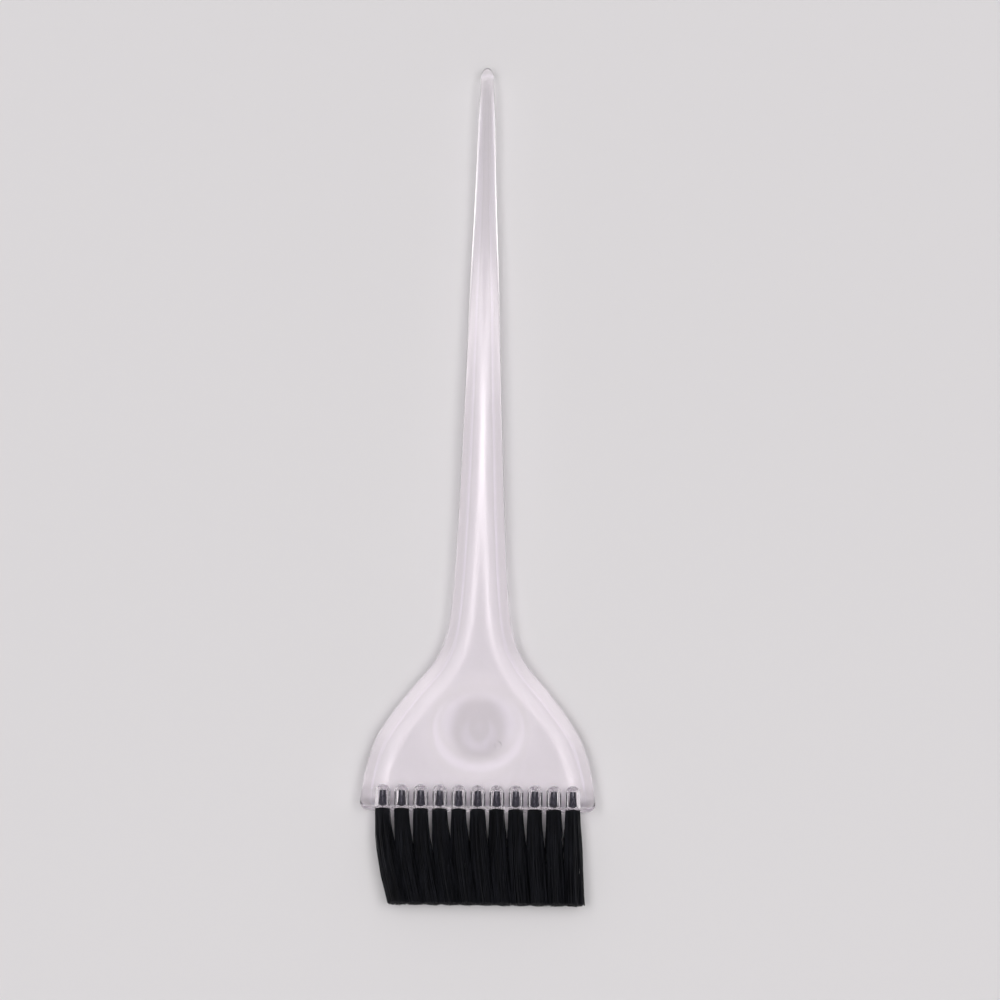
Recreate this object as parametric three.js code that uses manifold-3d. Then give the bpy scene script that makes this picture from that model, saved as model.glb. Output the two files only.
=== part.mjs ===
// Wide hair-tint brush: a clear one-piece handle with eleven tufts of nylon bristle, each folded
// over a small metal anchor at the bottom of its own hole.
//
// Frame, in millimetres: the brush lies on its back with its face up. +X runs across the paddle,
// +Y from the trimmed bristle tips to the tip of the handle and +Z up out of the face. The origin
// is the middle of the bottom of the whole brush's box. "Reach" is the distance along the brush,
// measured from the paddle's bristle edge: positive up the handle, negative down the bristles.

import * as THREE from 'three';
import { mergeVertices } from 'three/addons/utils/BufferGeometryUtils.js';
import Module from 'manifold-3d';

// ---- Driving dimensions -------------------------------------------------------------------

const TOTAL_LENGTH = 216;
const BRISTLE_LENGTH = 23; // free length, from the paddle's edge to the straight trim
const HANDLE_LENGTH = TOTAL_LENGTH - BRISTLE_LENGTH;
const EDGE_Y = BRISTLE_LENGTH - TOTAL_LENGTH / 2;

// Half width of the moulding against reach: paddle, shoulder, neck and the long taper.
const HALF_WIDTH = [
  [0, 28.7], [9, 27.45], [17, 25.15], [22, 22.4], [29, 17.3], [36, 11.7], [42, 8.65], [50, 7.2],
  [69, 6], [100, 4.8], [132, 3.7], [156, 2.75], [182, 2.05], [190, 1.7],
];
// The paddle and the neck have one flat back that the brush lies on; the handle thins beyond it.
const PADDLE_HALF_THICKNESS = 3.25;
const TIP_HALF_THICKNESS = 1.6;
const FLAT_BACK_REACH = 70;
const THINNING_POWER = 1.5;
const MID_Z = PADDLE_HALF_THICKNESS;
const CORNER_RADIUS = 2.2; // of the outline, at the two ends of the bristle edge
// The bristle edge's end face bulges: it runs back by reach where it meets the two broad faces.
const EDGE_ROUND = { reach: 0.55, drop: 2.4 };
const TIP_LENGTH = 3; // the rounded last stretch of the handle
const TIP_FLAT = 0.12; // what is left of the section at the very end of it

// One thumb dish in each broad face: a ball-shaped bowl that rolls over softly to a faint rim.
const DISH = { reach: 20.3, rim: 13.3, bowl: 8, bowlRadius: 35 };

const TUFT_COUNT = 11;
const TUFT_PITCH = 4.59;
const HOLE_RADIUS = 1.9;
const HOLE_DEPTH = 6.0; // to the crown of its domed end
const CLEARANCE = 0.3; // between pieces that touch on the real brush

const ANCHOR = { thickness: 0.3, height: 1.6, length: 4.3, reach: 3.8 };

const TIP_PITCH = 4.24; // the tufts draw together towards the trim
const TIP_SWEEP = 2.25; // and the whole row is combed a little to +X
const SWEEP_POWER = 1.6;
const TUFT_TIP_HALF_DEPTH = 2.3;

// ---- Materials ----------------------------------------------------------------------------

const clearPlastic = new THREE.MeshStandardMaterial({
  color: 0xe4deea, roughness: 0.08, metalness: 0, transparent: true, opacity: 0.55,
});
const blackNylon = new THREE.MeshStandardMaterial({ color: 0x0e0f14, roughness: 0.45, metalness: 0 });
const anchorMetal = new THREE.MeshStandardMaterial({ color: 0xb9b2a2, roughness: 0.35, metalness: 1 });

// ---- Solids -------------------------------------------------------------------------------

const wasm = await Module();
wasm.setup();

/** Merge a closed geometry's shared vertices, leaving only their positions. */
function weld(geometry) {
  geometry.deleteAttribute('normal');
  geometry.deleteAttribute('uv');
  return mergeVertices(geometry, 1e-5);
}

/** Turn a closed geometry into a solid that can be joined and cut. */
function solidOf(geometry) {
  const welded = weld(geometry);
  return new wasm.Manifold(new wasm.Mesh({
    numProp: 3,
    vertProperties: new Float32Array(welded.attributes.position.array),
    triVerts: new Uint32Array(welded.index.array),
  }));
}

/** Turn a solid back into a geometry. */
function geometryOf(solid) {
  const { vertProperties, triVerts } = solid.getMesh();
  const geometry = new THREE.BufferGeometry();
  geometry.setAttribute('position', new THREE.BufferAttribute(vertProperties, 3));
  geometry.setIndex(new THREE.BufferAttribute(triVerts, 1));
  geometry.computeVertexNormals();
  return geometry;
}

/**
 * A closed bar through stations listed from its +Y end to its -Y end. Each station gives y, the
 * middle x, halfWidth, halfDepth and round, the width that its rounded sides take up. The broad
 * faces between the rounded sides are flat.
 */
function bar(stations, sideSteps) {
  const perSide = sideSteps + 1;
  const around = 2 * perSide;
  const rows = stations.length - 1;
  const geometry = new THREE.CylinderGeometry(1, 1, 1, around, rows);
  const position = geometry.attributes.position;
  for (let i = 0; i < position.count; i += 1) {
    const station = stations[Math.round((0.5 - position.getY(i)) * rows)];
    const isCapCentre = Math.hypot(position.getX(i), position.getZ(i)) < 0.5;
    if (isCapCentre) {
      position.setXYZ(i, station.x, station.y, MID_Z);
      continue;
    }
    const angle = Math.atan2(position.getX(i), position.getZ(i)) / (2 * Math.PI);
    const index = (Math.round(angle * around) + around) % around;
    const side = index < perSide ? 1 : -1;
    const turn = Math.PI / 2 - (Math.PI * (index % perSide)) / sideSteps;
    const across = station.halfWidth - station.round + station.round * Math.cos(turn);
    position.setXYZ(i, station.x + side * across, station.y,
      MID_Z + side * station.halfDepth * Math.sin(turn));
  }
  return geometry;
}

/** How far a quarter-ellipse, span long and drop high, still draws in at a distance. */
function quarterRound(span, drop, distance) {
  const left = Math.max(0, span - distance) / span;
  return drop * (1 - Math.sqrt(1 - left * left));
}

/** Evenly spaced numbers from start to end, both included. */
function spread(start, end, steps) {
  return Array.from({ length: steps + 1 }, (_, i) => start + ((end - start) * i) / steps);
}

// ---- The handle ---------------------------------------------------------------------------

const widthReaches = HALF_WIDTH.map(([reach]) => reach);
const widthCurve = new THREE.CubicInterpolant(widthReaches, HALF_WIDTH.map(([, width]) => width), 1);

/** Half the moulding's width at a reach, before its corners and its tip are rounded. */
function halfWidthAt(reach) {
  const lastReach = widthReaches[widthReaches.length - 1];
  return widthCurve.evaluate(THREE.MathUtils.clamp(reach, 0, lastReach))[0];
}

/** Half the moulding's thickness at a reach: level under the paddle, then thinning to the tip. */
function halfThicknessAt(reach) {
  const beyond = (reach - FLAT_BACK_REACH) / (HANDLE_LENGTH - FLAT_BACK_REACH);
  const thinned = THREE.MathUtils.clamp(beyond, 0, 1) ** THINNING_POWER;
  return THREE.MathUtils.lerp(PADDLE_HALF_THICKNESS, TIP_HALF_THICKNESS, thinned);
}

/** The moulding's section at a reach, with the corners, the end face and the tip drawn in. */
function handleStation(reach) {
  const intoTip = Math.max(0, reach - (HANDLE_LENGTH - TIP_LENGTH)) / TIP_LENGTH;
  const tip = Math.sqrt(Math.max(TIP_FLAT ** 2, 1 - intoTip ** 2));
  const slope = halfWidthAt(reach + 0.5) - halfWidthAt(reach - 0.5);
  const edgeDrop = quarterRound(EDGE_ROUND.reach, EDGE_ROUND.drop, reach);
  const cornerDrop = quarterRound(CORNER_RADIUS, CORNER_RADIUS, reach);
  const halfDepth = (halfThicknessAt(reach) - edgeDrop) * tip;
  const halfWidth = (halfWidthAt(reach) - cornerDrop) * tip;
  const round = Math.min(halfWidth * 0.98, halfThicknessAt(reach) * Math.hypot(1, slope));
  return { x: 0, y: EDGE_Y + reach, halfWidth, halfDepth, round };
}

/** The outside of the moulding, before its holes and dishes. */
function handleBlank() {
  const corner = [0, 0.06, 0.25, EDGE_ROUND.reach, 1, 1.55, CORNER_RADIUS];
  const paddle = spread(4, 48, 16);
  const taper = spread(54, HANDLE_LENGTH - TIP_LENGTH, 15);
  const tip = [0.35, 0.62, 0.82, 0.95, 1].map((part) => HANDLE_LENGTH - TIP_LENGTH * (1 - part));
  const reaches = [...corner, ...paddle, ...taper, ...tip];
  return bar(reaches.map(handleStation).reverse(), 10);
}

/** A cutter for the dish in the upper face; flip turns it over for the lower face. */
function dishCutter(flip) {
  const steepest = Math.asin(DISH.bowl / DISH.bowlRadius);
  const lipRadius = (DISH.rim - DISH.bowl) / Math.sin(steepest);
  const depth = (DISH.bowlRadius + lipRadius) * (1 - Math.cos(steepest));
  const bowl = spread(0, steepest, 5).map((turn) => new THREE.Vector2(
    DISH.bowlRadius * Math.sin(turn), DISH.bowlRadius * (1 - Math.cos(turn)) - depth));
  const lip = spread(steepest, 0, 4).slice(1).map((turn) => new THREE.Vector2(
    DISH.rim - lipRadius * Math.sin(turn), -lipRadius * (1 - Math.cos(turn))));
  const profile = [...bowl, ...lip];
  profile.push(new THREE.Vector2(DISH.rim, 1), new THREE.Vector2(0, 1));
  const cutter = new THREE.LatheGeometry(profile, 32);
  cutter.rotateX(flip ? -Math.PI / 2 : Math.PI / 2);
  return cutter.translate(0, EDGE_Y + DISH.reach, flip ? 0 : 2 * MID_Z);
}

/** A cutter for one blind hole with a domed end, opening through the bristle edge. */
function holeCutter(x) {
  const straight = HOLE_DEPTH - HOLE_RADIUS;
  const dome = spread(0, Math.PI / 2, 3).map((turn) => new THREE.Vector2(
    HOLE_RADIUS * Math.cos(turn), straight + HOLE_RADIUS * Math.sin(turn)));
  const profile = [new THREE.Vector2(0, -1), new THREE.Vector2(HOLE_RADIUS, -1), ...dome];
  profile[profile.length - 1].x = 0; // the crown, exactly on the axis
  return new THREE.LatheGeometry(profile, 16).translate(x, EDGE_Y, MID_Z);
}

/** The room around an anchor, with clearance on every side. */
function anchorRoom(x) {
  return new THREE.BoxGeometry(ANCHOR.thickness + 2 * CLEARANCE, ANCHOR.height + 2 * CLEARANCE,
    ANCHOR.length + 2 * CLEARANCE).translate(x, EDGE_Y + ANCHOR.reach, MID_Z);
}

/** The clear moulding, with its two dishes, its holes and the notches that the anchors bite. */
function handle() {
  let body = solidOf(handleBlank());
  body = body.subtract(solidOf(dishCutter(false))).subtract(solidOf(dishCutter(true)));
  for (let i = 0; i < TUFT_COUNT; i += 1) {
    body = body.subtract(solidOf(holeCutter(rootX(i)))).subtract(solidOf(anchorRoom(rootX(i))));
  }
  return geometryOf(body);
}

// ---- Tufts and anchors --------------------------------------------------------------------

/** Where a tuft stands across the paddle. */
function rootX(index) {
  return (index - (TUFT_COUNT - 1) / 2) * TUFT_PITCH;
}

/** A tuft: a round root in its hole, folded over its anchor, opening out to the straight trim. */
function tuft(index) {
  const rootRadius = HOLE_RADIUS - CLEARANCE;
  const domeReach = HOLE_DEPTH - HOLE_RADIUS;
  const tipX = TIP_SWEEP + (index - (TUFT_COUNT - 1) / 2) * TIP_PITCH;
  const dome = [80, 55, 30, 0].map((degrees) => {
    const turn = THREE.MathUtils.degToRad(degrees);
    const radius = rootRadius * Math.cos(turn);
    const y = EDGE_Y + domeReach + rootRadius * Math.sin(turn);
    return { x: rootX(index), y, halfWidth: radius, halfDepth: radius, round: radius };
  });
  const mouth = { ...dome[dome.length - 1], y: EDGE_Y };
  const free = [0.1, 0.25, 0.45, 0.7, 1].map((part) => {
    const spacing = THREE.MathUtils.lerp(TUFT_PITCH, TIP_PITCH, part ** SWEEP_POWER);
    const opened = THREE.MathUtils.smoothstep(part, 0, 0.4);
    const halfWidth = THREE.MathUtils.lerp(rootRadius, (spacing - CLEARANCE) / 2, opened);
    const x = THREE.MathUtils.lerp(rootX(index), tipX, part ** SWEEP_POWER);
    const halfDepth = THREE.MathUtils.lerp(rootRadius, TUFT_TIP_HALF_DEPTH, part);
    return { x, y: EDGE_Y - BRISTLE_LENGTH * part, halfWidth, halfDepth, round: rootRadius * 0.9 };
  });
  const whole = solidOf(bar([...dome, mouth, ...free], 6));
  return geometryOf(whole.subtract(solidOf(anchorRoom(rootX(index)))));
}

/** An anchor: a short length of flat wire across the hole, with its ends in the notches. */
function anchor(index) {
  return weld(new THREE.BoxGeometry(ANCHOR.thickness, ANCHOR.height, ANCHOR.length)
    .translate(rootX(index), EDGE_Y + ANCHOR.reach, MID_Z));
}

// ---- The brush ----------------------------------------------------------------------------

const brush = new THREE.Group();

/** Add a named piece to the brush. */
function addPiece(name, geometry, material) {
  const piece = new THREE.Mesh(geometry, material);
  piece.name = name;
  brush.add(piece);
}

addPiece('handle', handle(), clearPlastic);
for (let i = 0; i < TUFT_COUNT; i += 1) {
  const number = String(i + 1).padStart(2, '0');
  addPiece(`tuft_${number}`, tuft(i), blackNylon);
  addPiece(`anchor_${number}`, anchor(i), anchorMetal);
}

export default brush;
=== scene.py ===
"""A wide hair-tint brush with a clear moulded handle and eleven stapled tufts of black nylon.

The brush lies on its back: +X across the paddle, +Y from the trimmed bristle tips to the tip of
the handle, +Z up out of the face, in metres. "Reach" is the distance along the brush from the
paddle's bristle edge: positive up the handle, negative down the bristles.
"""

from __future__ import annotations

import logging
import math
import random
from collections.abc import Callable, Iterable
from dataclasses import dataclass, field
from enum import Enum

import bmesh
import bpy
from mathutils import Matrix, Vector


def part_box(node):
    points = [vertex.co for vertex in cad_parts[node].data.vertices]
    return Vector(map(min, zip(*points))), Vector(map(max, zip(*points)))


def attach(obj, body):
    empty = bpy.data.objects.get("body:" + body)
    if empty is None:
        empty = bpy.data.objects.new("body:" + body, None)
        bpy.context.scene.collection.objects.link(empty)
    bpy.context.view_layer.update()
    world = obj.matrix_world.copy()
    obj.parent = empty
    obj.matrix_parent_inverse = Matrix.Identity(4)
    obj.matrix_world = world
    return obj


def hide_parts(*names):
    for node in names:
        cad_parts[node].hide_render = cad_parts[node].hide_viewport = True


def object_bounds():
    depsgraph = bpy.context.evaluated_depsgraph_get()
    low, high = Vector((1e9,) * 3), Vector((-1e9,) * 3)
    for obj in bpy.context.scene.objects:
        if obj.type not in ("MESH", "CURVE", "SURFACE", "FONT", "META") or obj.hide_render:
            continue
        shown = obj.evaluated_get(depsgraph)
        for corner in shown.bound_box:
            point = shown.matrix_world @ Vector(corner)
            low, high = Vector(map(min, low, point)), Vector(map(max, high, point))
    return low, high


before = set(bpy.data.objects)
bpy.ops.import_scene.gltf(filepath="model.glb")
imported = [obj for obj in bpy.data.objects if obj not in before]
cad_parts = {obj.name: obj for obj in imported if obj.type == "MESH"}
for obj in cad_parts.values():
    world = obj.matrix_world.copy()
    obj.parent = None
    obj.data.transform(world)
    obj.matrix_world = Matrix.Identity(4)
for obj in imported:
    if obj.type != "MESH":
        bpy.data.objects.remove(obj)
CAD_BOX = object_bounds()

log = logging.getLogger("tint_brush")

MM = 0.001
TINY = 1e-7
NEAR = 1e-6
BODY = "root"
TUFT_COUNT = 11


class Slot(Enum):
    """The record's material slots."""

    PLASTIC = "clear_plastic"
    BRISTLE = "bristle"
    WIRE = "anchor_wire"


class Face(Enum):
    """The two broad faces of the moulding, as the sign of their outward direction."""

    UPPER = 1
    LOWER = -1


# ---- Hand tools ---------------------------------------------------------------------------


class Bench:
    """The few modelling steps that every piece is made with."""

    @staticmethod
    def clear() -> None:
        """Leave edit mode and deselect everything."""
        if bpy.context.mode != "OBJECT":
            bpy.ops.object.mode_set(mode="OBJECT")
        bpy.ops.object.select_all(action="DESELECT")

    @staticmethod
    def take(obj: bpy.types.Object) -> None:
        """Make an object the only selected one, and the active one.

        Args:
            obj: The object to work on.
        """
        Bench.clear()
        obj.select_set(True)
        bpy.context.view_layer.objects.active = obj

    @staticmethod
    def edit(obj: bpy.types.Object, mode: str = "VERT") -> None:
        """Open an object in edit mode, with nothing selected.

        Args:
            obj: The object to edit.
            mode: What is selected: VERT, EDGE or FACE.
        """
        Bench.take(obj)
        bpy.ops.object.mode_set(mode="EDIT")
        bpy.ops.mesh.select_mode(type=mode)
        bpy.ops.mesh.select_all(action="DESELECT")

    @staticmethod
    def pick(wanted: Callable[[Vector], bool]) -> None:
        """Select just the vertices of the edited mesh whose place is wanted.

        Args:
            wanted: Says of a place, in the object's own frame, whether its vertex is picked.
        """
        data = bpy.context.object.data
        mesh = bmesh.from_edit_mesh(data)
        for vertex in mesh.verts:
            vertex.select = bool(wanted(vertex.co))
        mesh.select_flush(True)
        mesh.select_flush(False)
        bmesh.update_edit_mesh(data)

    @staticmethod
    def extrude(move: Iterable[float]) -> None:
        """Extrude what is selected and move the new part.

        Args:
            move: How far the new part moves, as x, y and z.
        """
        bpy.ops.mesh.extrude_region_move(TRANSFORM_OT_translate={"value": tuple(move)})

    @staticmethod
    def resize(factors: Iterable[float], about: Iterable[float]) -> None:
        """Scale what is selected about a point.

        Args:
            factors: The factors along x, y and z.
            about: The point that stays where it is.
        """
        bpy.ops.transform.resize(value=tuple(factors), center_override=tuple(about))

    @staticmethod
    def chain(points: list[Vector], name: str) -> bpy.types.Object:
        """Draw an open line of edges, and stay in edit mode with all of it selected.

        Args:
            points: The corners of the line, in the row frame.
            name: The new object's name.

        Returns:
            The new object, which sits at the origin.
        """
        Bench.clear()
        bpy.ops.mesh.primitive_plane_add(size=MM, location=points[0])
        obj = bpy.context.object
        obj.name = name
        bpy.ops.object.transform_apply(location=True)
        bpy.ops.object.mode_set(mode="EDIT")
        bpy.ops.mesh.select_mode(type="VERT")
        bpy.ops.mesh.select_all(action="SELECT")
        bpy.ops.mesh.merge(type="CENTER")
        for start, end in zip(points, points[1:]):
            Bench.extrude(end - start)
        bpy.ops.mesh.select_all(action="SELECT")
        return obj

    @staticmethod
    def turn(points: list[Vector], centre: Vector, axis: Vector, steps: int,
             name: str) -> bpy.types.Object:
        """Spin a profile, which starts and ends on the axis, into a closed solid.

        Args:
            points: The profile's corners, in the row frame.
            centre: A point on the axis.
            axis: The axis's direction.
            steps: How many steps make the full turn.
            name: The new object's name.

        Returns:
            The turned solid, in edit mode with all of it selected.
        """
        obj = Bench.chain(points, name)
        bpy.ops.mesh.spin(steps=steps, angle=math.tau, center=centre, axis=axis)
        bpy.ops.mesh.select_all(action="SELECT")
        bpy.ops.mesh.remove_doubles(threshold=TINY)
        bpy.ops.mesh.normals_make_consistent(inside=False)
        return obj

    @staticmethod
    def repeat(count: int, pitch: float) -> None:
        """Copy what is selected in edit mode into a row along +X.

        Args:
            count: How many there are in the end.
            pitch: The distance from one to the next.
        """
        for _ in range(count - 1):
            bpy.ops.mesh.duplicate_move(TRANSFORM_OT_translate={"value": (pitch, 0, 0)})

    @staticmethod
    def apply(obj: bpy.types.Object, kind: str, **settings: object) -> None:
        """Add a modifier to an object, set it and apply it.

        Args:
            obj: The object.
            kind: The modifier's type.
            **settings: The modifier's settings.
        """
        Bench.take(obj)
        bpy.ops.object.modifier_add(type=kind)
        modifier = obj.modifiers[-1]
        for key, value in settings.items():
            setattr(modifier, key, value)
        bpy.ops.object.modifier_apply(modifier=modifier.name)

    @staticmethod
    def cut(target: bpy.types.Object, cutter: bpy.types.Object) -> None:
        """Cut one solid out of another, and throw the cutter away.

        Args:
            target: The solid that stays.
            cutter: The solid that is taken away.
        """
        Bench.apply(target, "BOOLEAN", operation="DIFFERENCE", solver="EXACT", object=cutter)
        bpy.data.objects.remove(cutter)


def between(start: float, end: float, part: float) -> float:
    """The value a part of the way from start to end."""
    return start + (end - start) * part


def spread(start: float, end: float, steps: int) -> list[float]:
    """Evenly spaced values from start to end, both included."""
    return [between(start, end, i / steps) for i in range(steps + 1)]


def smooth_step(part: float) -> float:
    """Ease from 0 to 1 as part goes from 0 to 1."""
    part = min(max(part, 0.0), 1.0)
    return part * part * (3 - 2 * part)


# ---- Shader groups ------------------------------------------------------------------------


class Nodes:
    """A short way to write a node tree."""

    def __init__(self, tree: bpy.types.NodeTree) -> None:
        """Start on a tree.

        Args:
            tree: The tree that the nodes go into.
        """
        self.tree = tree

    def add(self, kind: str, settings: dict[str, object] | None = None,
            **inputs: object) -> bpy.types.Node:
        """Add a node, set it and link or fill its inputs.

        Args:
            kind: The node's type, such as ShaderNodeTexNoise.
            settings: The node's own settings.
            **inputs: Input names, with "_" for a space, and a value or a socket for each.

        Returns:
            The new node.
        """
        node = self.tree.nodes.new(kind)
        for key, value in (settings or {}).items():
            setattr(node, key, value)
        for key, value in inputs.items():
            slot = int(key[1:]) if key[1:].isdigit() else key.replace("_", " ")
            self.feed(node.inputs[slot], value)
        return node

    def feed(self, socket: bpy.types.NodeSocket, value: object) -> None:
        """Link a socket to another socket, or set it to a plain value.

        Args:
            socket: The input socket to fill.
            value: The socket or the value that it takes.
        """
        if isinstance(value, bpy.types.NodeSocket):
            self.tree.links.new(value, socket)
        else:
            socket.default_value = value


def new_group(name: str, inputs: dict[str, tuple[str, float]],
              outputs: dict[str, str]) -> tuple[bpy.types.NodeTree, Nodes, dict, dict]:
    """Make an empty shader node group with named sockets.

    Args:
        name: The group's name.
        inputs: Socket name to its kind and, for a float, its usual value.
        outputs: Socket name to its kind.

    Returns:
        The tree, a writer for it, its input sockets and its output sockets by name.
    """
    tree = bpy.data.node_groups.new(name, "ShaderNodeTree")
    for key, (kind, value) in inputs.items():
        socket = tree.interface.new_socket(key, in_out="INPUT", socket_type=f"NodeSocket{kind}")
        if kind == "Float":
            socket.default_value = value
    for key, kind in outputs.items():
        tree.interface.new_socket(key, in_out="OUTPUT", socket_type=f"NodeSocket{kind}")
    writer = Nodes(tree)
    entry = writer.add("NodeGroupInput")
    leave = writer.add("NodeGroupOutput")
    return tree, writer, entry.outputs, leave.inputs


def scratches_group() -> bpy.types.NodeTree:
    """Fine handling scratches: thin broken lines at many angles.

    Returns:
        The group, with Vector, Scale and Amount in and Mask out.
    """
    tree, nodes, given, result = new_group(
        "fine_scratches",
        {"Vector": ("Vector", 0), "Scale": ("Float", 120.0), "Amount": ("Float", 0.5)},
        {"Mask": "Float"})
    warp = nodes.add("ShaderNodeTexNoise", Vector=given["Vector"], Scale=35.0, Detail=1.0)
    bent = nodes.add("ShaderNodeMix", {"data_type": "VECTOR"}, _0=0.012,
                     _4=given["Vector"], _5=warp.outputs["Color"])
    lines = None
    for degrees in (17.0, 74.0, 131.0):
        laid = nodes.add("ShaderNodeMapping", Vector=bent.outputs[1],
                         Rotation=(0, 0, math.radians(degrees)), Scale=(1.0, 0.06, 1.0))
        cells = nodes.add("ShaderNodeTexVoronoi", {"feature": "DISTANCE_TO_EDGE"},
                          Vector=laid.outputs[0], Scale=given["Scale"])
        thin = nodes.add("ShaderNodeMapRange", Value=cells.outputs["Distance"],
                         From_Min=0.0, From_Max=0.018, To_Min=1.0, To_Max=0.0)
        if lines is None:
            lines = thin.outputs[0]
        else:
            lines = nodes.add("ShaderNodeMath", {"operation": "MAXIMUM"}, _0=lines,
                              _1=thin.outputs[0]).outputs[0]
    patches = nodes.add("ShaderNodeTexNoise", Vector=given["Vector"], Scale=90.0, Detail=3.0)
    breaks = nodes.add("ShaderNodeMapRange", Value=patches.outputs[0],
                       From_Min=0.52, From_Max=0.66)
    broken = nodes.add("ShaderNodeMath", {"operation": "MULTIPLY"}, _0=lines,
                       _1=breaks.outputs[0])
    nodes.feed(result["Mask"], nodes.add("ShaderNodeMath", {"operation": "MULTIPLY"},
                                         _0=broken.outputs[0], _1=given["Amount"]).outputs[0])
    return tree


def specks_group() -> bpy.types.NodeTree:
    """Sparse dust specks of uneven size.

    Returns:
        The group, with Vector, Scale and Amount in and Mask out.
    """
    tree, nodes, given, result = new_group(
        "dust_specks",
        {"Vector": ("Vector", 0), "Scale": ("Float", 400.0), "Amount": ("Float", 0.5)},
        {"Mask": "Float"})
    cells = nodes.add("ShaderNodeTexVoronoi", Vector=given["Vector"], Scale=given["Scale"])
    chance = nodes.add("ShaderNodeSeparateColor", Color=cells.outputs["Color"])
    size = nodes.add("ShaderNodeMapRange", Value=chance.outputs[0], From_Min=0.86,
                     From_Max=1.0, To_Min=0.0, To_Max=0.16)
    inside = nodes.add("ShaderNodeMath", {"operation": "LESS_THAN"},
                       _0=cells.outputs["Distance"], _1=size.outputs[0])
    nodes.feed(result["Mask"], nodes.add("ShaderNodeMath", {"operation": "MULTIPLY"},
                                         _0=inside.outputs[0], _1=given["Amount"]).outputs[0])
    return tree


@dataclass
class Effects:
    """The shader groups that several finishes share."""

    scratches: bpy.types.NodeTree = field(default_factory=scratches_group)
    specks: bpy.types.NodeTree = field(default_factory=specks_group)


# ---- Finishes -----------------------------------------------------------------------------


def new_material(name: str) -> tuple[bpy.types.Material, Nodes, bpy.types.Node]:
    """Make a material with a Principled shader.

    Args:
        name: The material's name.

    Returns:
        The material, a writer for its tree and its Principled node.
    """
    material = bpy.data.materials.new(name)
    material.use_nodes = True
    shader = material.node_tree.nodes["Principled BSDF"]
    return material, Nodes(material.node_tree), shader


@dataclass(frozen=True)
class ClearPlastic:
    """Polished clear styrene with a faint lavender tint that deepens with thickness."""

    surface: tuple[float, float, float] = (0.985, 0.962, 0.985)
    body: tuple[float, float, float] = (0.80, 0.73, 0.82)
    mirrored: tuple[float, float, float] = (0.42, 0.40, 0.52)
    density: float = 8.0
    roughness: float = 0.025
    haziest: float = 3.0
    mark_roughness: float = 0.18
    index: float = 1.58

    def make(self, effects: Effects) -> bpy.types.Material:
        """Build the material.

        Args:
            effects: The shared shader groups.

        Returns:
            The material.
        """
        material, nodes, shader = new_material("clear_styrene")
        place = nodes.add("ShaderNodeTexCoord").outputs["Object"]
        scratch = nodes.add("ShaderNodeGroup", {"node_tree": effects.scratches},
                            Vector=place, Scale=160.0, Amount=0.7)
        specks = nodes.add("ShaderNodeGroup", {"node_tree": effects.specks},
                           Vector=place, Scale=420.0, Amount=0.6)
        marks = nodes.add("ShaderNodeMath", {"operation": "MAXIMUM"},
                          _0=scratch.outputs[0], _1=specks.outputs[0])
        handled = nodes.add("ShaderNodeTexNoise", Vector=place, Scale=55.0, Detail=4.0)
        haze = nodes.add("ShaderNodeMapRange", Value=handled.outputs[0], From_Min=0.4,
                         From_Max=0.75, To_Min=self.roughness, To_Max=self.roughness * self.haziest)
        rough = nodes.add("ShaderNodeMath", {"operation": "MULTIPLY_ADD"},
                          _0=marks.outputs[0], _1=self.mark_roughness,
                          _2=haze.outputs[0])
        flow = nodes.add("ShaderNodeTexNoise", Scale=38.0, Detail=2.0, Vector=nodes.add(
            "ShaderNodeMapping", Vector=place, Scale=(1.0, 0.35, 1.0)).outputs[0])
        wavy = nodes.add("ShaderNodeBump", Strength=0.12, Distance=0.0006,
                         Height=flow.outputs[0])
        marked = nodes.add("ShaderNodeBump", Strength=0.25, Distance=0.00003,
                           Height=marks.outputs[0], Normal=wavy.outputs[0])
        marked.invert = True
        shader.inputs["Base Color"].default_value = (*self.surface, 1)
        shader.inputs["Transmission Weight"].default_value = 1.0
        shader.inputs["IOR"].default_value = self.index
        shader.inputs["Specular Tint"].default_value = (*self.mirrored, 1)
        nodes.feed(shader.inputs["Roughness"], rough.outputs[0])
        nodes.feed(shader.inputs["Normal"], marked.outputs[0])
        inside = nodes.add("ShaderNodeVolumeAbsorption", Color=(*self.body, 1),
                           Density=self.density)
        output = material.node_tree.nodes["Material Output"]
        nodes.feed(output.inputs["Volume"], inside.outputs[0])
        return material


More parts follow.
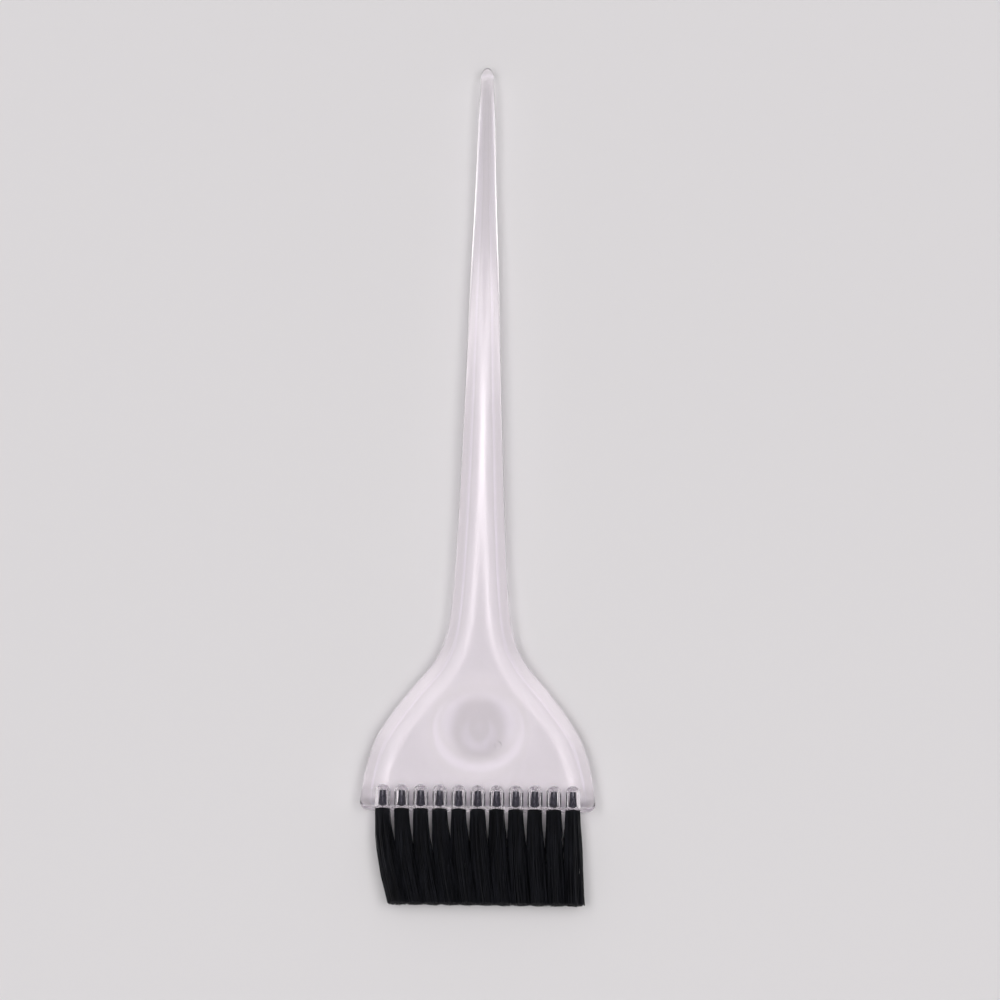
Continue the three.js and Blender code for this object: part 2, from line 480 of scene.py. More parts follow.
@dataclass(frozen=True)
class BlackNylon:
    """Black nylon filament with a cool satin sheen."""

    dark: tuple[float, float, float] = (0.0025, 0.0027, 0.004)
    light: tuple[float, float, float] = (0.010, 0.011, 0.016)
    dust: tuple[float, float, float] = (0.08, 0.08, 0.09)
    roughness: float = 0.42
    unevenness: float = 0.18
    index: float = 1.53
    sheen: float = 0.3

    def make(self, effects: Effects) -> bpy.types.Material:
        """Build the material.

        Args:
            effects: The shared shader groups.

        Returns:
            The material.
        """
        material, nodes, shader = new_material("black_nylon")
        place = nodes.add("ShaderNodeTexCoord").outputs["Object"]
        along = nodes.add("ShaderNodeMapping", Vector=place, Scale=(1.0, 0.05, 1.0))
        streaks = nodes.add("ShaderNodeTexNoise", Vector=along.outputs[0], Scale=1600.0,
                            Detail=2.0)
        tone = nodes.add("ShaderNodeMapRange", Value=streaks.outputs[0], From_Min=0.35,
                         From_Max=0.7)
        specks = nodes.add("ShaderNodeGroup", {"node_tree": effects.specks},
                           Vector=place, Scale=900.0, Amount=0.5)
        colour = nodes.add("ShaderNodeMix", {"data_type": "RGBA"}, _0=tone.outputs[0],
                           _6=(*self.dark, 1), _7=(*self.light, 1))
        dusty = nodes.add("ShaderNodeMix", {"data_type": "RGBA"}, _0=specks.outputs[0],
                          _6=colour.outputs[2], _7=(*self.dust, 1))
        rough = nodes.add("ShaderNodeMapRange", Value=tone.outputs[0],
                          To_Min=self.roughness, To_Max=self.roughness + self.unevenness)
        nodes.feed(shader.inputs["Base Color"], dusty.outputs[2])
        nodes.feed(shader.inputs["Roughness"], rough.outputs[0])
        shader.inputs["IOR"].default_value = self.index
        shader.inputs["Specular IOR Level"].default_value = self.sheen
        return material


@dataclass(frozen=True)
class StapleWire:
    """Dull drawn flat wire."""

    bright: tuple[float, float, float] = (0.30, 0.30, 0.32)
    dull: tuple[float, float, float] = (0.12, 0.12, 0.13)
    roughness: float = 0.3
    unevenness: float = 0.25

    def make(self, effects: Effects) -> bpy.types.Material:
        """Build the material.

        Args:
            effects: The shared shader groups.

        Returns:
            The material.
        """
        material, nodes, shader = new_material("staple_wire")
        place = nodes.add("ShaderNodeTexCoord").outputs["Object"]
        drawn = nodes.add("ShaderNodeMapping", Vector=place, Scale=(1.0, 1.0, 0.08))
        grain = nodes.add("ShaderNodeTexNoise", Vector=drawn.outputs[0], Scale=5000.0,
                          Detail=3.0)
        scratch = nodes.add("ShaderNodeGroup", {"node_tree": effects.scratches},
                            Vector=place, Scale=1500.0, Amount=0.8)
        worn = nodes.add("ShaderNodeMath", {"operation": "MAXIMUM"},
                         _0=grain.outputs[0], _1=scratch.outputs[0])
        colour = nodes.add("ShaderNodeMix", {"data_type": "RGBA"}, _0=worn.outputs[0],
                           _6=(*self.dull, 1), _7=(*self.bright, 1))
        rough = nodes.add("ShaderNodeMapRange", Value=grain.outputs[0],
                          To_Min=self.roughness, To_Max=self.roughness + self.unevenness)
        bump = nodes.add("ShaderNodeBump", Strength=0.3, Distance=0.00001,
                         Height=grain.outputs[0])
        shader.inputs["Metallic"].default_value = 1.0
        nodes.feed(shader.inputs["Base Color"], colour.outputs[2])
        nodes.feed(shader.inputs["Roughness"], rough.outputs[0])
        nodes.feed(shader.inputs["Normal"], bump.outputs[0])
        return material


@dataclass(frozen=True)
class PaleFloor:
    """A plain matt pale tabletop."""

    colour: tuple[float, float, float] = (0.80, 0.79, 0.80)
    roughness: float = 0.7

    def make(self) -> bpy.types.Material:
        """Build the material.

        Returns:
            The material.
        """
        material, nodes, shader = new_material("pale_floor")
        place = nodes.add("ShaderNodeTexCoord").outputs["Object"]
        cloud = nodes.add("ShaderNodeTexNoise", Vector=place, Scale=3.0, Detail=3.0)
        tone = nodes.add("ShaderNodeMapRange", Value=cloud.outputs[0], To_Min=0.97,
                         To_Max=1.0)
        shade = nodes.add("ShaderNodeMix", {"data_type": "RGBA", "blend_type": "MULTIPLY"},
                          _0=1.0, _6=(*self.colour, 1), _7=tone.outputs[0])
        nodes.feed(shader.inputs["Base Color"], shade.outputs[2])
        shader.inputs["Roughness"].default_value = self.roughness
        return material


# ---- The clear moulding -------------------------------------------------------------------


@dataclass(frozen=True)
class Station:
    """One section of the moulding: two round sides joined by flat broad faces."""

    y: float
    half_width: float
    half_depth: float
    side: float

    @property
    def flat(self) -> float:
        """Half the width of the flat stretch."""
        return self.half_width - self.side


@dataclass(frozen=True)
class Dish:
    """A thumb dish: a round-bottomed hollow that rolls over into the face at its rim."""

    reach: float = 20.3 * MM
    rim: float = 13.3 * MM
    bowl: float = 8.0 * MM
    bowl_radius: float = 35.0 * MM
    bowl_steps: int = 12
    lip_steps: int = 8
    turn_steps: int = 128

    def profile(self) -> list[tuple[float, float]]:
        """Draw half the dish's section.

        Returns:
            Radius and height above the face, from the middle of the dish to its rim.
        """
        steepest = math.asin(self.bowl / self.bowl_radius)
        lip = (self.rim - self.bowl) / math.sin(steepest)
        depth = (self.bowl_radius + lip) * (1 - math.cos(steepest))
        inner = [(self.bowl_radius * math.sin(turn),
                  self.bowl_radius * (1 - math.cos(turn)) - depth)
                 for turn in spread(0, steepest, self.bowl_steps)]
        outer = [(self.rim - lip * math.sin(turn), -lip * (1 - math.cos(turn)))
                 for turn in spread(steepest, 0, self.lip_steps)]
        return inner + outer[1:]


@dataclass(frozen=True)
class GateMark:
    """The shallow ring groove round the point where the plastic was injected."""

    place: tuple[float, float] = (4.4 * MM, -4.7 * MM)
    radius: float = 0.85 * MM
    tool_radius: float = 0.35 * MM
    depth: float = 0.28 * MM
    ring_steps: int = 40
    tool_steps: int = 16


@dataclass(frozen=True)
class Hole:
    """A blind tuft hole with a domed end and a slightly rounded mouth."""

    radius: float = 1.9 * MM
    depth: float = 6.0 * MM
    mouth: float = 0.18 * MM
    outside: float = 1.0 * MM
    mouth_steps: int = 4
    dome_steps: int = 10
    turn_steps: int = 40

    def profile(self) -> list[tuple[float, float]]:
        """Draw half the hole's section.

        Returns:
            Radius and reach, from the axis outside the mouth to the crown of the dome.
        """
        wide = self.radius + self.mouth
        lip = [(wide - self.mouth * math.sin(turn), self.mouth * (1 - math.cos(turn)))
               for turn in spread(0, math.pi / 2, self.mouth_steps)]
        straight = self.depth - self.radius
        dome = [(self.radius * math.cos(turn), straight + self.radius * math.sin(turn))
                for turn in spread(0, math.pi / 2, self.dome_steps)]
        return [(0.0, -self.outside), (wide, -self.outside), *lip, *dome[:-1],
                (0.0, self.depth)]


@dataclass
class Moulding:
    """The one-piece clear handle: long taper, neck, flared paddle, dishes and tuft holes."""

    node: str = "handle"
    half_widths: tuple[tuple[float, float], ...] = (
        (0, 28.7), (9, 27.45), (17, 25.15), (22, 22.4), (29, 17.3), (36, 11.7), (42, 8.65),
        (50, 7.2), (69, 6), (100, 4.8), (132, 3.7), (156, 2.75), (182, 2.05), (190, 1.7))
    tip_half_thickness: float = 1.6 * MM
    flat_back_reach: float = 70 * MM
    thinning_power: float = 1.5
    corner_radius: float = 2.2 * MM
    edge_reach: float = 0.55 * MM
    edge_drop: float = 2.4 * MM
    tip_length: float = 3 * MM
    tip_flat: float = 0.12
    fullest_side: float = 0.98
    paddle_end: float = 60 * MM
    edge_steps: int = 6
    corner_steps: int = 12
    paddle_steps: int = 50
    taper_steps: int = 44
    tip_steps: int = 12
    arc_steps: int = 14
    cutter_lead: float = 1.5 * MM
    notch_room: float = 0.02 * MM
    crease: float = math.radians(38)
    tuft_pitch: float = 4.59 * MM
    dish: Dish = field(default_factory=Dish)
    gate: GateMark = field(default_factory=GateMark)
    hole: Hole = field(default_factory=Hole)
    low: Vector = field(init=False)
    high: Vector = field(init=False)

    def __post_init__(self) -> None:
        """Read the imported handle's box."""
        self.low, self.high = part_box(self.node)

    @property
    def length(self) -> float:
        """From the bristle edge to the tip of the handle."""
        return self.high.y - self.low.y

    @property
    def mid_z(self) -> float:
        """Height of the middle plane."""
        return (self.low.z + self.high.z) / 2

    @property
    def half_thickness(self) -> float:
        """Half the paddle's thickness."""
        return (self.high.z - self.low.z) / 2

    def width_at(self, reach: float) -> float:
        """Half the moulding's width at a reach, before its ends are rounded.

        Args:
            reach: The distance from the bristle edge.

        Returns:
            The half width, on a smooth curve through the listed ones.
        """
        knots = [(place * MM, width * MM) for place, width in self.half_widths]
        reach = min(max(reach, knots[0][0]), knots[-1][0])
        last = len(knots) - 1
        low = max(i for i in range(last) if knots[i][0] <= reach)

        def slope(i: int) -> float:
            """The curve's slope at a knot, from the knots on either side."""
            before, after = knots[max(i - 1, 0)], knots[min(i + 1, last)]
            return (after[1] - before[1]) / (after[0] - before[0])

        (start, first), (end, second) = knots[low], knots[low + 1]
        gap = end - start
        t = (reach - start) / gap
        return (first * (2 * t**3 - 3 * t**2 + 1) + second * (3 * t**2 - 2 * t**3)
                + gap * slope(low) * (t**3 - 2 * t**2 + t)
                + gap * slope(low + 1) * (t**3 - t**2))

    def thickness_at(self, reach: float) -> float:
        """Half the moulding's thickness at a reach.

        Args:
            reach: The distance from the bristle edge.

        Returns:
            The half thickness.
        """
        beyond = (reach - self.flat_back_reach) / (self.length - self.flat_back_reach)
        thinned = min(max(beyond, 0.0), 1.0) ** self.thinning_power
        return between(self.half_thickness, self.tip_half_thickness, thinned)

    def station(self, reach: float) -> Station:
        """The section at a reach, with the corners, the bulged end and the tip drawn in.

        Args:
            reach: The distance from the bristle edge.

        Returns:
            The section.
        """
        def drawn_in(span: float, drop: float) -> float:
            """How far a quarter-ellipse that starts at the bristle edge still draws in."""
            left = max(0.0, span - reach) / span
            return drop * (1 - math.sqrt(1 - left * left))

        into = max(0.0, reach - (self.length - self.tip_length)) / self.tip_length
        tip = math.sqrt(max(self.tip_flat**2, 1 - into**2))
        half = 0.5 * MM
        slope = (self.width_at(reach + half) - self.width_at(reach - half)) / (2 * half)
        depth = (self.thickness_at(reach) - drawn_in(self.edge_reach, self.edge_drop)) * tip
        width = (self.width_at(reach)
                 - drawn_in(self.corner_radius, self.corner_radius)) * tip
        side = min(width * self.fullest_side, self.thickness_at(reach) * math.hypot(1, slope))
        return Station(self.low.y + reach, width, depth, side)

    def reaches(self) -> list[float]:
        """Choose where the sections are drawn: close on the curves, apart on the taper.

        Returns:
            Each section's distance from the bristle edge.
        """
        def quarter(span: float, steps: int) -> list[float]:
            """Reaches that divide a quarter-round evenly."""
            return [span * (1 - math.cos(turn)) for turn in spread(0, math.pi / 2, steps)]

        least_gap = 0.1 * self.edge_reach
        corner = quarter(self.edge_reach, self.edge_steps)
        corner += [reach for reach in quarter(self.corner_radius, self.corner_steps)
                   if reach > self.edge_reach + least_gap]
        paddle = spread(self.corner_radius, self.paddle_end, self.paddle_steps)[1:]
        taper = spread(self.paddle_end, self.length - self.tip_length, self.taper_steps)[1:]
        tip = [self.length - self.tip_length * (1 - math.sin(turn))
               for turn in spread(0, math.pi / 2, self.tip_steps)][1:]
        return corner + paddle + taper + tip

    def draw_quarter(self) -> bpy.types.Object:
        """Extrude a quarter of the section along the brush, reshaping it at each station.

        Returns:
            A quarter of the moulding's skin, in an object on the middle plane.
        """
        stations = [self.station(reach) for reach in self.reaches()]
        first = stations[0]
        Bench.clear()
        bpy.ops.mesh.primitive_circle_add(
            vertices=4 * self.arc_steps, radius=first.half_depth, fill_type="NOTHING",
            location=(0, 0, self.mid_z), rotation=(math.pi / 2, 0, 0))
        quarter = bpy.context.object
        bpy.ops.object.transform_apply(location=False, rotation=True, scale=False)
        Bench.edit(quarter)
        Bench.pick(lambda co: co.x < -TINY or co.z < -TINY)
        bpy.ops.mesh.delete(type="VERT")
        bpy.ops.mesh.select_all(action="SELECT")
        Bench.resize((first.side / first.half_depth, 1, 1), (0, 0, self.mid_z))
        bpy.ops.transform.translate(value=(first.flat, first.y, 0))
        Bench.pick(lambda co: co.x < first.flat + TINY)
        Bench.extrude((-first.flat, 0, 0))
        for old, new in zip(stations, stations[1:]):
            Bench.pick(lambda co: abs(co.y - old.y) < TINY)
            Bench.extrude((0, new.y - old.y, 0))
            Bench.resize((1, 1, new.half_depth / old.half_depth), (0, new.y, self.mid_z))
            Bench.pick(lambda co: abs(co.y - new.y) < TINY and co.x > old.flat / 2)
            Bench.resize((new.side / old.side, 1, 1), (old.flat, new.y, self.mid_z))
            bpy.ops.transform.translate(value=(new.flat - old.flat, 0, 0))
        return quarter

    def draw_body(self) -> bpy.types.Object:
        """Mirror the quarter into the whole outside, and close its two ends.

        Returns:
            The moulding before anything is cut out of it.
        """
        body = self.draw_quarter()
        Bench.apply(body, "MIRROR", use_axis=(True, False, True), merge_threshold=NEAR)
        bpy.ops.object.transform_apply(location=True)
        Bench.edit(body)
        for end in (self.low.y, self.high.y):
            Bench.pick(lambda co: abs(co.y - end) < NEAR)
            bpy.ops.mesh.edge_face_add()
        bpy.ops.mesh.select_all(action="SELECT")
        bpy.ops.mesh.normals_make_consistent(inside=False)
        Bench.clear()
        return body

    def dish_cutter(self, face: Face) -> bpy.types.Object:
        """Turn the cutter of the dish in one face.

        Args:
            face: The face that it cuts.

        Returns:
            The cutter.
        """
        y = self.low.y + self.dish.reach
        z = self.high.z if face is Face.UPPER else self.low.z
        outline = [*self.dish.profile(), (self.dish.rim, self.cutter_lead),
                   (0.0, self.cutter_lead)]
        points = [Vector((radius, y, z + face.value * height)) for radius, height in outline]
        cutter = Bench.turn(points, Vector((0, y, z)), Vector((0, 0, 1)),
                            self.dish.turn_steps, "dish_cutter")
        Bench.clear()
        return cutter

    def gate_cutter(self) -> bpy.types.Object:
        """Lay the ring tool of the gate mark on the slope of the upper dish.

        Returns:
            The cutter.
        """
        x, y = self.gate.place
        bowl = self.dish.bowl_radius
        lowest = self.high.z + self.dish.profile()[0][1]
        middle = Vector((0, self.low.y + self.dish.reach, lowest + bowl))
        spoke = Vector((x, y, -math.sqrt(bowl**2 - x**2 - y**2)))
        lift = bowl - self.gate.tool_radius + self.gate.depth
        Bench.clear()
        bpy.ops.mesh.primitive_torus_add(
            major_radius=self.gate.radius, minor_radius=self.gate.tool_radius,
            major_segments=self.gate.ring_steps, minor_segments=self.gate.tool_steps,
            location=middle + spoke.normalized() * lift,
            rotation=(-spoke).to_track_quat("Z", "Y").to_euler())
        cutter = bpy.context.object
        bpy.ops.object.transform_apply(location=True, rotation=True)
        return cutter

    def tuft_x(self, index: int) -> float:
        """Where a tuft stands across the paddle."""
        return (index - (TUFT_COUNT - 1) / 2) * self.tuft_pitch

    def hole_cutter(self) -> bpy.types.Object:
        """Turn one hole's cutter and copy it along the bristle edge.

        Returns:
            The cutter of all the holes.
        """
        x, y = self.tuft_x(0), self.low.y
        points = [Vector((x + radius, y + reach, self.mid_z))
                  for radius, reach in self.hole.profile()]
        cutter = Bench.turn(points, Vector((x, y, self.mid_z)), Vector((0, 1, 0)),
                            self.hole.turn_steps, "hole_cutter")
        Bench.repeat(TUFT_COUNT, self.tuft_pitch)
        Bench.clear()
        return cutter

    def notch_cutter(self) -> bpy.types.Object:
        """Block out the notches that the anchors bite into the walls of the holes.

        Returns:
            The cutter of all the notches.
        """
        low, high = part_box("anchor_01")
        room = Vector((self.notch_room,) * 3) * 2
        Bench.clear()
        bpy.ops.mesh.primitive_cube_add(
            size=1, location=(low + high) / 2, scale=high - low + room)
        cutter = bpy.context.object
        bpy.ops.object.transform_apply(location=True, scale=True)
        Bench.edit(cutter)
        bpy.ops.mesh.select_all(action="SELECT")
        Bench.repeat(TUFT_COUNT, self.tuft_pitch)
        Bench.clear()
        return cutter

    def build(self, finish: bpy.types.Material) -> bpy.types.Object:
        """Make the moulding and dress it.

        Args:
            finish: The clear plastic.

        Returns:
            The finished piece.
        """
        body = self.draw_body()
        body.name = "clear_moulding"
        for face in Face:
            Bench.cut(body, self.dish_cutter(face))
        Bench.cut(body, self.gate_cutter())
        Bench.cut(body, self.hole_cutter())
        Bench.cut(body, self.notch_cutter())
        Bench.take(body)
        bpy.ops.object.shade_smooth_by_angle(angle=self.crease)
        Bench.apply(body, "WEIGHTED_NORMAL", mode="FACE_AREA", weight=50, keep_sharp=True)
        body.data.materials.clear()
        body.data.materials.append(finish)
        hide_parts(self.node)
        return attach(body, BODY)


# ---- Tufts and anchors --------------------------------------------------------------------


@dataclass
class Anchor:
    """A short length of flat wire, sheared off at both ends."""

    number: int
    wire_edge: float = 0.06 * MM
    burr: float = 0.03 * MM
    sheared: tuple[float, float] = (0.8, 0.94)
    edge_steps: int = 3
    crease: float = math.radians(40)

    @property
    def node(self) -> str:
        """The name of the anchor's CAD node."""
        return f"anchor_{self.number:02d}"

    def model(self) -> bpy.types.Object:
        """Shape the anchor: rounded wire edges and slightly drawn-in sheared ends.

        Returns:
            The anchor.
        """
        low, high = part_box(self.node)
        middle = (low + high) / 2
        Bench.clear()
        bpy.ops.mesh.primitive_cube_add(size=1, location=middle, scale=high - low)
        anchor = bpy.context.object
        bpy.ops.object.transform_apply(location=True, scale=True)
        Bench.edit(anchor, "EDGE")
        mesh = bmesh.from_edit_mesh(anchor.data)
        for edge in mesh.edges:
            start, end = (vertex.co for vertex in edge.verts)
            edge.select = abs(start.z - end.z) > (high.z - low.z) / 2
        bmesh.update_edit_mesh(anchor.data)
        bpy.ops.mesh.bevel(offset=self.wire_edge, segments=self.edge_steps)
        for end in (low.z, high.z):
            Bench.pick(lambda co: abs(co.z - end) < NEAR)
            sign = 1 if end > middle.z else -1
            Bench.extrude((0, 0, 0))
            Bench.resize((*self.sheared, 1), (middle.x, middle.y, end))
            bpy.ops.transform.translate(value=(0, 0, -sign * self.burr))
        Bench.clear()
        return anchor

    def dress(self, anchor: bpy.types.Object, finish: bpy.types.Material) -> None:
        """Give an anchor its name, finish and body.

        Args:
            anchor: The anchor.
            finish: The wire's material.
        """
        anchor.name = f"staple_{self.number:02d}"
        Bench.take(anchor)
        bpy.ops.object.shade_smooth_by_angle(angle=self.crease)
        anchor.data.materials.clear()
        anchor.data.materials.append(finish)
        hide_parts(self.node)
        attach(anchor, BODY)


@dataclass
class AnchorRow:
    """The eleven anchors, one in each hole."""

    pitch: float

    def build(self, finish: bpy.types.Material) -> list[bpy.types.Object]:
        """Model one anchor and copy it along the row, each with its own mesh.

        Args:
            finish: The wire's material.

        Returns:
            The anchors, from -X to +X.
        """
        first = Anchor(1).model()
        row = [first]
        for _ in range(TUFT_COUNT - 1):
            Bench.take(row[-1])
            bpy.ops.object.duplicate_move(
                TRANSFORM_OT_translate={"value": (self.pitch, 0, 0)})
            copy = bpy.context.object
            bpy.ops.object.transform_apply(location=True)
            row.append(copy)
        for number, anchor in enumerate(row, 1):
            Anchor(number).dress(anchor, finish)
        return row


@dataclass
class Tuft:
    """About ninety filaments, folded over their anchor and trimmed straight."""

    number: int
    root_x: float
    tip_x: float
    moulding: Moulding
    filament_radius: float = 0.1 * MM
    spacing: float = 0.225 * MM
    mouth_radius: float = 1.72 * MM
    waist: float = 0.62
    parting: float = 0.16 * MM
    levels_in: tuple[float, ...] = (0, 0.4, 0.8, 1.0)
    squeeze: tuple[float, ...] = (0, 0.6, 1.0, 1.0)
    parted: tuple[float, ...] = (0, 0.5, 1.0, 1.0)
    fold_steps: int = 5
    fold_flatness: float = 0.8
    tip_half_width: float = 2.25 * MM
    tip_half_depth: float = 2.3 * MM
    opened_at: float = 0.55
    sweep_power: float = 1.6
    fan_steps: int = 7
    wander: float = 0.1 * MM
    trim_error: float = 0.12 * MM
    crease: float = math.radians(65)

    @property
    def node(self) -> str:
        """The name of the tuft's CAD node."""
        return f"tuft_{self.number:02d}"

    def centre(self, part: float) -> Vector:
        """Find the tuft's middle.

        Args:
            part: How far it is along the free length, from 0 at the hole to 1 at the trim.

        Returns:
            The middle.
        """
        tip_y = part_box(self.node)[0].y + self.trim_error
        return Vector((between(self.root_x, self.tip_x, part**self.sweep_power),
                       between(self.moulding.low.y, tip_y, part), self.moulding.mid_z))

    def jitter(self, level: int, amount: float) -> None:
        """Move what is selected at random, the same way every time."""
        bpy.ops.transform.vertex_random(offset=amount, uniform=1.0, normal=0.0,
                                        seed=self.number * 40 + level)

    def lay_out(self) -> bpy.types.Object:
        """Set out where one leg of each filament passes the mouth of the hole.

        Returns:
            The loose points, in an object open in edit mode.
        """
        across = round(self.mouth_radius / self.spacing)
        start = self.centre(0.0)
        half = across * self.spacing
        Bench.clear()
        bpy.ops.mesh.primitive_grid_add(
            x_subdivisions=2 * across, y_subdivisions=2 * across, size=2 * half,
            location=start + Vector((self.spacing / 2, 0, 0)), rotation=(math.pi / 2, 0, 0))
        strands = bpy.context.object
        bpy.ops.object.transform_apply(location=True, rotation=True)
        Bench.edit(strands)
        bpy.ops.mesh.select_all(action="SELECT")
        bpy.ops.mesh.delete(type="EDGE_FACE")
        Bench.pick(lambda co: co.x < start.x or (co - start).length > self.mouth_radius)
        bpy.ops.mesh.delete(type="VERT")
        bpy.ops.mesh.select_all(action="SELECT")
        self.jitter(0, self.spacing / 4)
        Bench.resize((1, 0, 1), start)
        return strands

    def fold(self) -> None:
        """Run the legs into the hole, over the anchor and back out to the mouth."""
        mouth = self.centre(0.0)
        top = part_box(f"anchor_{self.number:02d}")[1].y
        levels = [between(mouth.y, top, part) for part in self.levels_in]
        waists = [between(1, self.waist, part) for part in self.squeeze]
        partings = [self.parting * part for part in self.parted]

        def pass_on(old: int, new: int, side: int) -> None:
            """Draw the legs from one level to another, on one side of the anchor.

            Args:
                old: The level that they have reached.
                new: The level to draw them to.
                side: 1 on the anchor's +X side, -1 on the other.
            """
            Bench.extrude((-side * partings[old], levels[new] - levels[old], 0))
            factor = waists[new] / waists[old]
            Bench.resize((factor, 1, factor), (mouth.x, levels[new], mouth.z))
            bpy.ops.transform.translate(value=(side * partings[new], 0, 0))

        for level in range(1, len(levels)):
            pass_on(level - 1, level, 1)
        bpy.ops.mesh.spin(steps=self.fold_steps, angle=math.pi, center=(mouth.x, top, mouth.z),
                          axis=(0, 0, 1))
        for level in range(len(levels) - 1, 0, -1):
            pass_on(level, level - 1, -1)
        Bench.pick(lambda co: co.y > top + NEAR)
        Bench.resize((1, self.fold_flatness, 1), (mouth.x, top, mouth.z))

    def fan(self) -> None:
        """Run both legs from the mouth to the trim, opening out and wandering a little."""
        mouth = self.centre(0.0)
        Bench.pick(lambda co: abs(co.y - mouth.y) < 10 * NEAR)

        def size(part: float) -> tuple[float, float]:
            """Find the tuft's size at a part of its free length.

            Args:
                part: From 0 at the hole to 1 at the trim.

            Returns:
                Half the width and half the depth.
            """
            opened = smooth_step(part / self.opened_at)
            return (between(self.mouth_radius, self.tip_half_width, opened),
                    between(self.mouth_radius, self.tip_half_depth, part))

        for level in range(1, self.fan_steps + 1):
            old, new = (level - 1) / self.fan_steps, level / self.fan_steps
            Bench.extrude(self.centre(new) - self.centre(old))
            (width, depth), (new_width, new_depth) = size(old), size(new)
            Bench.resize((new_width / width, 1, new_depth / depth), self.centre(new))
            self.jitter(level, self.wander)
        Bench.resize((1, 0, 1), self.centre(1.0))
        self.jitter(self.fan_steps + 1, self.trim_error / 2)

    def build(self, finish: bpy.types.Material) -> bpy.types.Object:
        """Draw the filaments as lines, give them their thickness and dress them.

        Args:
            finish: The bristle material.

        Returns:
            The finished tuft.
        """
        tuft = self.lay_out()
        self.fold()
        self.fan()
        Bench.take(tuft)
        bpy.ops.object.convert(target="CURVE")
        tuft = bpy.context.object
        tuft.data.bevel_depth = self.filament_radius
        tuft.data.bevel_resolution = 0
        tuft.data.use_fill_caps = True
        bpy.ops.object.convert(target="MESH")
        tuft = bpy.context.object
        tuft.name = f"bristles_{self.number:02d}"
        Bench.edit(tuft)
        bpy.ops.mesh.select_all(action="SELECT")
        bpy.ops.mesh.remove_doubles(threshold=self.filament_radius / 100)
        Bench.take(tuft)
        bpy.ops.object.shade_smooth_by_angle(angle=self.crease)
        tuft.data.materials.clear()
        tuft.data.materials.append(finish)
        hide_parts(self.node)
        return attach(tuft, BODY)


# ---- Studio -------------------------------------------------------------------------------


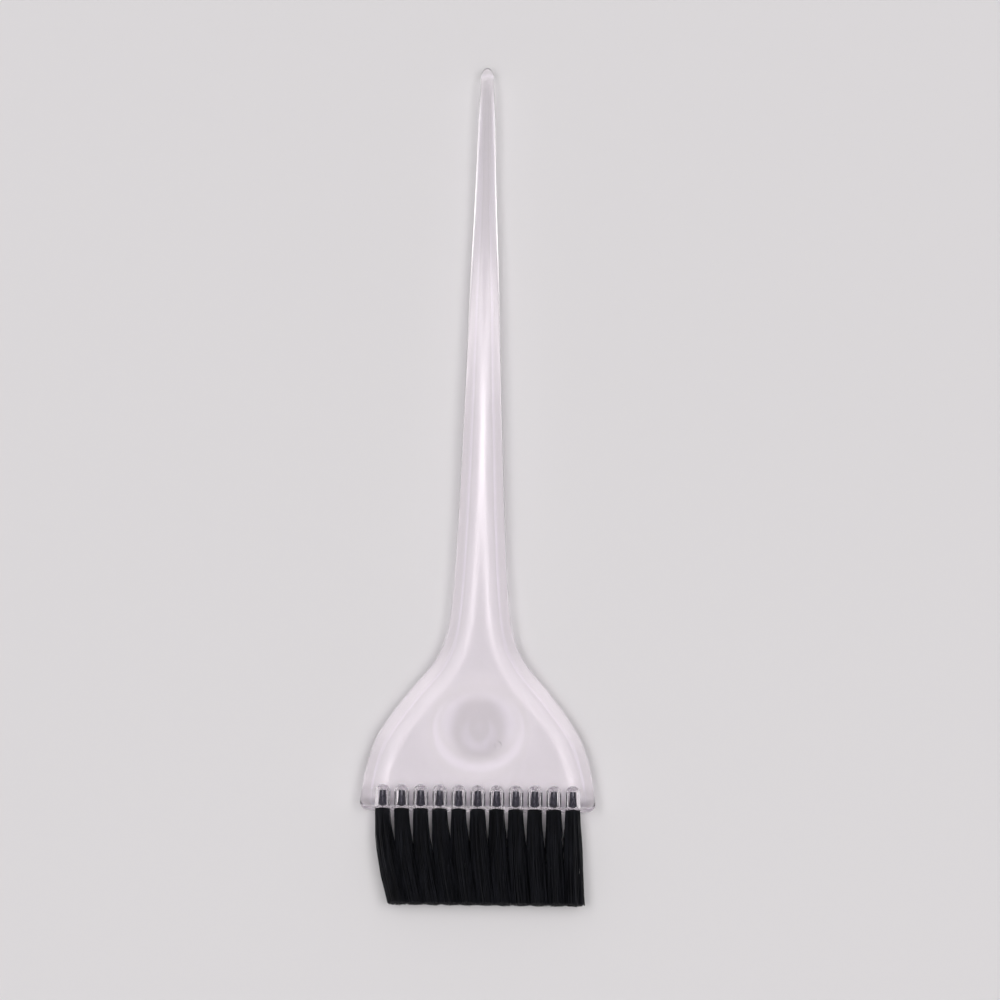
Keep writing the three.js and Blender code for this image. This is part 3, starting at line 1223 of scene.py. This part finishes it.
@dataclass
class Studio:
    """A pale table, a softbox under a dimmer stretch of ceiling, and the camera."""

    floor_gap: float = 0.25 * MM
    floor_size: float = 6.0
    room: tuple[float, float, float] = (1.0, 0.98, 0.985)
    horizon_light: float = 0.6
    horizon_band: tuple[float, float] = (math.radians(6), math.radians(20))
    wall_light: float = 0.25
    ceiling_band: tuple[float, float] = (math.radians(45), math.radians(65))
    ceiling_light: float = 3.3
    shade_light: float = 0.15
    shade_reach: tuple[float, float] = (math.radians(20), math.radians(32))
    shade_blur: float = 0.2
    box_place: tuple[float, float, float] = (0.0, 0.5, 1.5)
    box_size: tuple[float, float] = (0.38, 0.56)
    box_power: float = 0.45
    tilt: float = math.radians(16.6)
    roll: float = math.radians(0.69)
    distance: float = 1.0
    aim: tuple[float, float] = (4.5 * MM, -6.75 * MM)
    lens: float = 145.86
    sensor: float = 36.0
    bounces: int = 32
    clear_bounces: int = 24

    def lay_floor(self) -> bpy.types.Object:
        """Lay the tabletop just under the brush.

        Returns:
            The tabletop.
        """
        Bench.clear()
        bpy.ops.mesh.primitive_plane_add(size=self.floor_size,
                                         location=(0, 0, CAD_BOX[0].z - self.floor_gap))
        floor = bpy.context.object
        floor.name = "table"
        floor.data.materials.append(PaleFloor().make())
        return floor

    def light_room(self) -> None:
        """Light the room from a bright ceiling and a pale horizon, with dimmer walls between."""
        world = bpy.data.worlds.new("studio")
        world.use_nodes = True
        nodes = Nodes(world.node_tree)
        direction = nodes.add("ShaderNodeTexCoord").outputs["Generated"]
        height = nodes.add("ShaderNodeSeparateXYZ", Vector=direction).outputs["Z"]

        def ease(value: object, start: float, end: float, low: object,
                 high: object) -> bpy.types.NodeSocket:
            """Ease from one light level to another as a value goes from start to end.

            Args:
                value: The value that decides.
                start: Where the easing starts.
                end: Where it ends.
                low: The level up to the start.
                high: The level from the end.

            Returns:
                The level.
            """
            return nodes.add("ShaderNodeMapRange", {"interpolation_type": "SMOOTHSTEP"},
                             Value=value, From_Min=start, From_Max=end, To_Min=low,
                             To_Max=high).outputs[0]

        low, high = (math.sin(turn) for turn in self.horizon_band)
        walls = ease(height, low, high, self.horizon_light, self.wall_light)
        low, high = (math.sin(turn) for turn in self.ceiling_band)
        room = ease(height, low, high, walls, self.ceiling_light)
        lean = math.atan2(self.box_place[1], self.box_place[2])
        across, along = (1 / math.sin(reach) for reach in self.shade_reach)
        upright = nodes.add("ShaderNodeMapping", Vector=direction, Rotation=(lean, 0, 0))
        oval = nodes.add("ShaderNodeMapping", Vector=upright.outputs[0],
                         Scale=(across, along, 0))
        outward = nodes.add("ShaderNodeVectorMath", {"operation": "LENGTH"},
                            _0=oval.outputs[0])
        level = ease(outward.outputs["Value"], 1 - self.shade_blur, 1 + self.shade_blur,
                     self.shade_light, room)
        sky = world.node_tree.nodes["Background"]
        sky.inputs["Color"].default_value = (*self.room, 1)
        nodes.feed(sky.inputs["Strength"], level)
        bpy.context.scene.world = world

    def hang_softbox(self) -> bpy.types.Object:
        """Hang a rectangular softbox that faces the brush.

        Returns:
            The light.
        """
        data = bpy.data.lights.new("softbox", "AREA")
        data.shape = "RECTANGLE"
        data.size, data.size_y = self.box_size
        data.energy = self.box_power
        light = bpy.data.objects.new("softbox", data)
        bpy.context.scene.collection.objects.link(light)
        light.location = self.box_place
        light.rotation_euler = Vector(self.box_place).to_track_quat("Z", "Y").to_euler()
        return light

    def stand_camera(self) -> bpy.types.Object:
        """Stand the camera over the brush, tilted from the bristle side.

        Returns:
            The camera.
        """
        data = bpy.data.cameras.new("camera")
        data.lens = self.lens
        data.sensor_width = self.sensor
        camera = bpy.data.objects.new("camera", data)
        bpy.context.scene.collection.objects.link(camera)
        middle = (CAD_BOX[0].z + CAD_BOX[1].z) / 2
        back = Vector((0, -math.sin(self.tilt), math.cos(self.tilt)))
        camera.location = Vector((*self.aim, middle)) + back * self.distance
        camera.rotation_euler = (self.tilt, 0, 0)
        camera.rotation_euler.rotate_axis("Z", self.roll)
        bpy.context.scene.camera = camera
        return camera

    def build(self) -> None:
        """Set everything up, with enough light bounces for thick clear plastic."""
        self.lay_floor()
        self.light_room()
        self.hang_softbox()
        self.stand_camera()
        scene = bpy.context.scene
        scene.view_settings.view_transform = "Standard"
        scene.cycles.blur_glossy = 0.0
        scene.cycles.max_bounces = self.bounces
        scene.cycles.glossy_bounces = self.clear_bounces
        scene.cycles.transmission_bounces = self.clear_bounces


# ---- The whole brush ----------------------------------------------------------------------


@dataclass
class TintBrush:
    """The moulding, its anchors and its tufts."""

    tip_pitch: float = 4.24 * MM
    tip_sweep: float = 2.25 * MM
    waists: tuple[float, float] = (0.54, 0.68)
    seed: int = 11
    moulding: Moulding = field(default_factory=Moulding)

    def build(self) -> list[bpy.types.Object]:
        """Build every piece, and report each one.

        Returns:
            The pieces.
        """
        effects = Effects()
        pieces = [self.moulding.build(ClearPlastic().make(effects))]
        pieces += AnchorRow(self.moulding.tuft_pitch).build(StapleWire().make(effects))
        nylon = BlackNylon().make(effects)
        drawn = random.Random(self.seed)
        for index in range(TUFT_COUNT):
            tip_x = self.tip_sweep + (index - (TUFT_COUNT - 1) / 2) * self.tip_pitch
            tuft = Tuft(index + 1, self.moulding.tuft_x(index), tip_x, self.moulding,
                        waist=drawn.uniform(*self.waists))
            pieces.append(tuft.build(nylon))
        for piece in pieces:
            log.info("%s: %d faces", piece.name, len(piece.data.polygons))
        return pieces


def main() -> None:
    """Build the studio and the brush."""
    logging.basicConfig(level=logging.INFO, format="%(message)s")
    Studio().build()
    TintBrush().build()
    Bench.clear()


if __name__ == "__main__":
    main()
